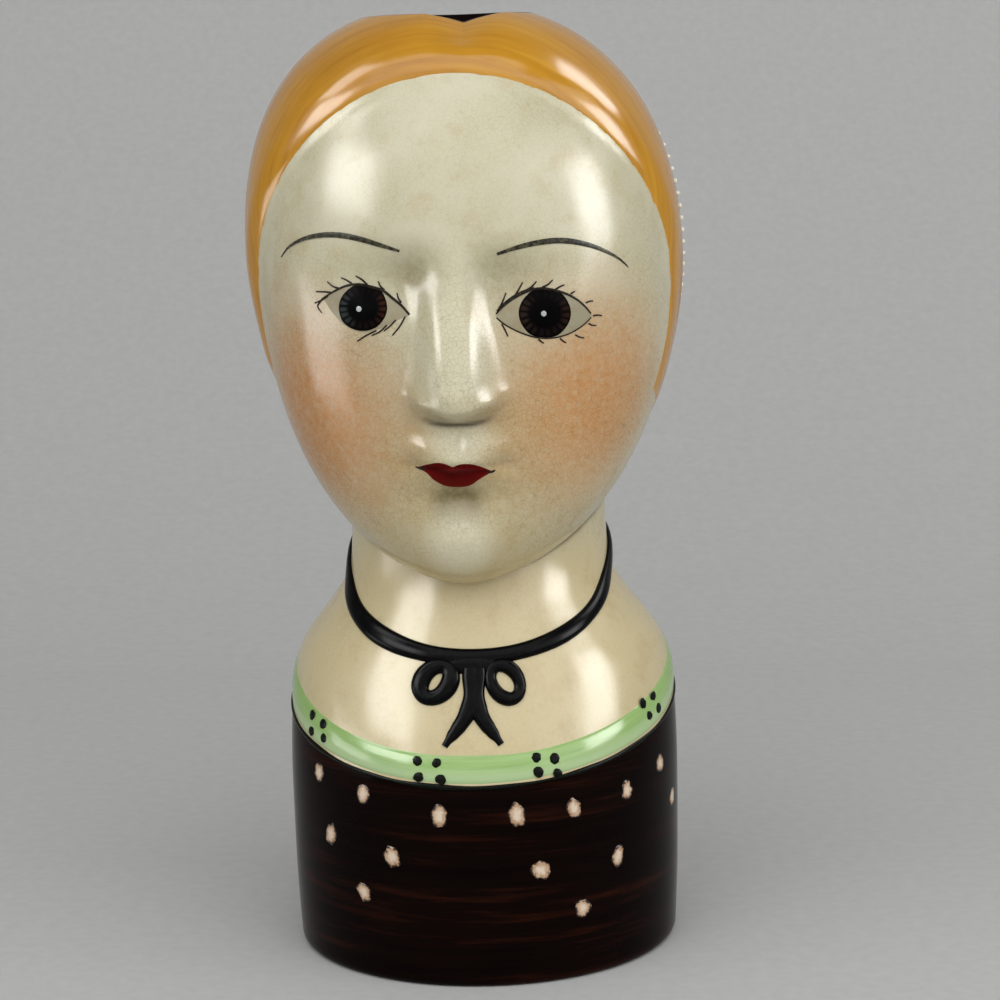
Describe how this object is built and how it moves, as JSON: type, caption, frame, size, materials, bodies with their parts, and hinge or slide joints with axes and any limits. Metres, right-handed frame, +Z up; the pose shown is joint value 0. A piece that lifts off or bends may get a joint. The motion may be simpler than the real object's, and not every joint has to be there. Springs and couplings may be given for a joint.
{
  "type": "head vase",
  "caption": "Hollow glazed ceramic vase shaped as a woman's head on a draped bust, flat-footed, with an open mouth in the crown that holds cut flowers.",
  "frame": {"origin": "centre of the flat foot, on the surface the vase stands on", "axes": "+Z up through the crown, -Y the way the face looks, +X to the viewer's right"},
  "size_m": [0.113, 0.119, 0.2402],
  "materials": {
    "brown_glaze": "gloss dark brown glaze with cream dabs",
    "green_glaze": "gloss pale green glaze with black dots",
    "cream_glaze": "gloss crackled cream glaze, painted",
    "black_glaze": "satin black glaze",
    "gold_glaze": "gloss golden glaze, brushed",
    "snood_glaze": "satin dark brown glaze",
    "white_slip": "gloss white trailed slip"
  },
  "bodies": {
    "root": {"bodice_drum": "brown_glaze", "neckline_band": "green_glaze", "shoulders_and_neck": "cream_glaze", "choker_ribbon": "black_glaze", "bow_knot": "black_glaze", "bow_loop_left": "black_glaze", "bow_loop_right": "black_glaze", "bow_tail_left": "black_glaze", "bow_tail_right": "black_glaze", "head_shell": "cream_glaze", "hair_left": "gold_glaze", "hair_right": "gold_glaze", "snood": "snood_glaze", "snood_beads": "white_slip"}
  },
  "joints": []
}
